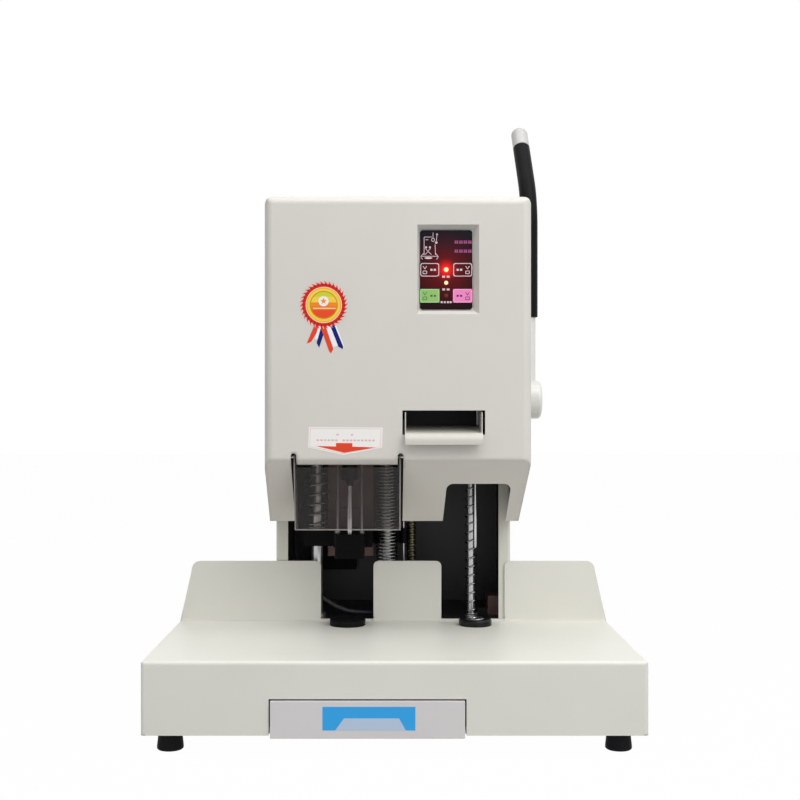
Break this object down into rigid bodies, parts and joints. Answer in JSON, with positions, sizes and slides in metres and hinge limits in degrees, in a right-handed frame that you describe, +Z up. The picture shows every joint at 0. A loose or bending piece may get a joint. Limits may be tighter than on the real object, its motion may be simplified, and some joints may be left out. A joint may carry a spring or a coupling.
{
  "type": "document riveting machine",
  "caption": "Desk machine that drills a paper stack and rivets a tube through it: boxy base with backstop, square head, clear guard, side lever and key panel.",
  "frame": {"origin": "on the floor under the middle of the base", "axes": "+X to the operator's right, +Y to the back, +Z up"},
  "size_m": [0.4, 0.336, 0.5486],
  "materials": {
    "painted_sheet": "powder-coated bent sheet",
    "painted_column": "powder-coated bent sheet",
    "zinc_steel": "zinc plated",
    "cast_iron": "machined faces, painted sides",
    "rubber": "matte",
    "grip_rubber": "smooth sleeve",
    "machined_aluminium": "milled",
    "moulded_abs": "fine moulded texture",
    "clear_acrylic": "clear, slightly smoky",
    "panel_film": "glossy dark film",
    "green_key": "glossy film",
    "pink_key": "glossy film",
    "circuit_board": "solder mask",
    "chrome_rod": "ground and plated",
    "tool_steel": "ground",
    "bronze": "sintered",
    "motor_steel": "satin",
    "blackened_steel": "blackened",
    "black_paint": "satin",
    "spring_steel": "drawn wire",
    "oiled_screw": "oiled thread",
    "black_nylon": "turned",
    "phenolic": "laminate",
    "white_enamel": "enamelled",
    "white_plastic": "moulded",
    "black_plastic": "moulded",
    "red_plastic": "moulded",
    "grey_sleeve": "sleeved cable"
  },
  "bodies": {
    "machine": {"base_front_cover": "painted_sheet", "base_rear_cover": "painted_sheet", "base_plate": "zinc_steel", "bed_plate": "cast_iron", "bed_pillars": "cast_iron", "rubber_feet": "rubber", "foot_screws": "zinc_steel", "drawer_runners": "zinc_steel", "column_frame": "painted_column", "top_beam": "machined_aluminium", "head_front_cover": "moulded_abs", "head_rear_cover": "moulded_abs", "guard_pins": "zinc_steel", "tube_tray": "moulded_abs", "panel_overlay": "panel_film", "keypad_board": "circuit_board", "guide_columns": "chrome_rod", "return_spring": "spring_steel", "screw_bearing": "cast_iron", "feed_motor": "motor_steel", "pad_bush": "bronze", "limit_board": "phenolic", "rivet_casting": "cast_iron", "rivet_spring": "spring_steel", "anvil_body": "blackened_steel", "anvil_die": "tool_steel", "heat_shield": "black_paint", "power_inlet": "black_plastic", "control_board": "circuit_board", "terminal_block": "phenolic", "wiring_sleeve": "grey_sleeve"},
    "lever": {"lever_shaft": "tool_steel", "pinion": "tool_steel", "lever_hub": "white_enamel", "lever_arm": "white_enamel", "lever_grip": "grip_rubber", "lever_cap": "white_plastic"},
    "ram": {"ram_rack": "tool_steel", "ram_bracket": "cast_iron", "rivet_needle": "tool_steel"},
    "carriage": {"carriage_block": "machined_aluminium", "carriage_bushes": "bronze", "drill_motor": "motor_steel"},
    "spindle": {"spindle_shaft": "tool_steel", "drill_chuck": "blackened_steel", "drill_bit": "tool_steel"},
    "presser": {"presser_crosshead": "black_paint", "presser_foot": "black_paint", "lift_rods": "chrome_rod", "presser_spring": "spring_steel"},
    "screw": {"feed_screw": "oiled_screw"},
    "guard": {"drill_guard": "clear_acrylic"},
    "drawer": {"drawer_box": "zinc_steel", "drawer_front": "painted_sheet"},
    "pad": {"drill_pad": "black_nylon"},
    "key_up": {"panel_keys_1": "panel_film"},
    "key_down": {"panel_keys_2": "panel_film"},
    "key_start": {"panel_keys_3": "green_key"},
    "key_stop": {"panel_keys_4": "pink_key"},
    "rocker": {"power_rocker": "red_plastic"}
  },
  "joints": [
    {"name": "lever_swing", "type": "hinge", "parent": "machine", "child": "lever", "pos_m": [0.1282, 0.034, 0.281], "axis": [1, 0, 0], "range_deg": [0, 122]},
    {"name": "ram_slide", "type": "slide", "parent": "machine", "child": "ram", "axis": [0, 0, -1], "range_m": [0, 0.064], "stiffness_N_per_m": 200, "springref_m": -0.04, "deforming": ["rivet_spring"]},
    {"name": "drill_feed", "type": "slide", "parent": "machine", "child": "carriage", "axis": [0, 0, -1], "range_m": [0, 0.061], "deforming": ["return_spring"]},
    {"name": "screw_spin", "type": "hinge", "parent": "machine", "child": "screw", "pos_m": [0.0175, 0.062, 0.2], "axis": [0, 0, 1], "range_deg": [0, 4400]},
    {"name": "spindle_spin", "type": "hinge", "parent": "carriage", "child": "spindle", "pos_m": [-0.04, 0, 0.24], "axis": [0, 0, 1], "continuous": true},
    {"name": "presser_slide", "type": "slide", "parent": "machine", "child": "presser", "axis": [0, 0, -1], "range_m": [0, 0.055], "deforming": ["presser_spring"]},
    {"name": "guard_flip", "type": "hinge", "parent": "machine", "child": "guard", "pos_m": [-0.04, -0.062, 0.231], "axis": [-1, 0, 0], "range_deg": [0, 70]},
    {"name": "drawer_slide", "type": "slide", "parent": "machine", "child": "drawer", "axis": [0, -1, 0], "range_m": [0, 0.12]},
    {"name": "pad_turn", "type": "hinge", "parent": "machine", "child": "pad", "pos_m": [-0.042, 0, 0.0745], "axis": [0, 0, 1], "continuous": true},
    {"name": "key_up_press", "type": "slide", "parent": "machine", "child": "key_up", "axis": [0, 1, 0], "range_m": [0, 0.0005], "stiffness_N_per_m": 400},
    {"name": "key_down_press", "type": "slide", "parent": "machine", "child": "key_down", "axis": [0, 1, 0], "range_m": [0, 0.0005], "stiffness_N_per_m": 400},
    {"name": "key_start_press", "type": "slide", "parent": "machine", "child": "key_start", "axis": [0, 1, 0], "range_m": [0, 0.0005], "stiffness_N_per_m": 400},
    {"name": "key_stop_press", "type": "slide", "parent": "machine", "child": "key_stop", "axis": [0, 1, 0], "range_m": [0, 0.0005], "stiffness_N_per_m": 400},
    {"name": "power_rock", "type": "hinge", "parent": "machine", "child": "rocker", "pos_m": [-0.047, 0.148, 0.1205], "axis": [-1, 0, 0], "range_deg": [0, 14]}
  ],
  "couplings": [
    {"joint": "ram_slide", "follows": "lever_swing", "m_per_rad": 0.03},
    {"joint": "presser_slide", "follows": "drill_feed", "ratio": 0.9016},
    {"joint": "screw_spin", "follows": "drill_feed", "rad_per_m": 1256.6}
  ]
}
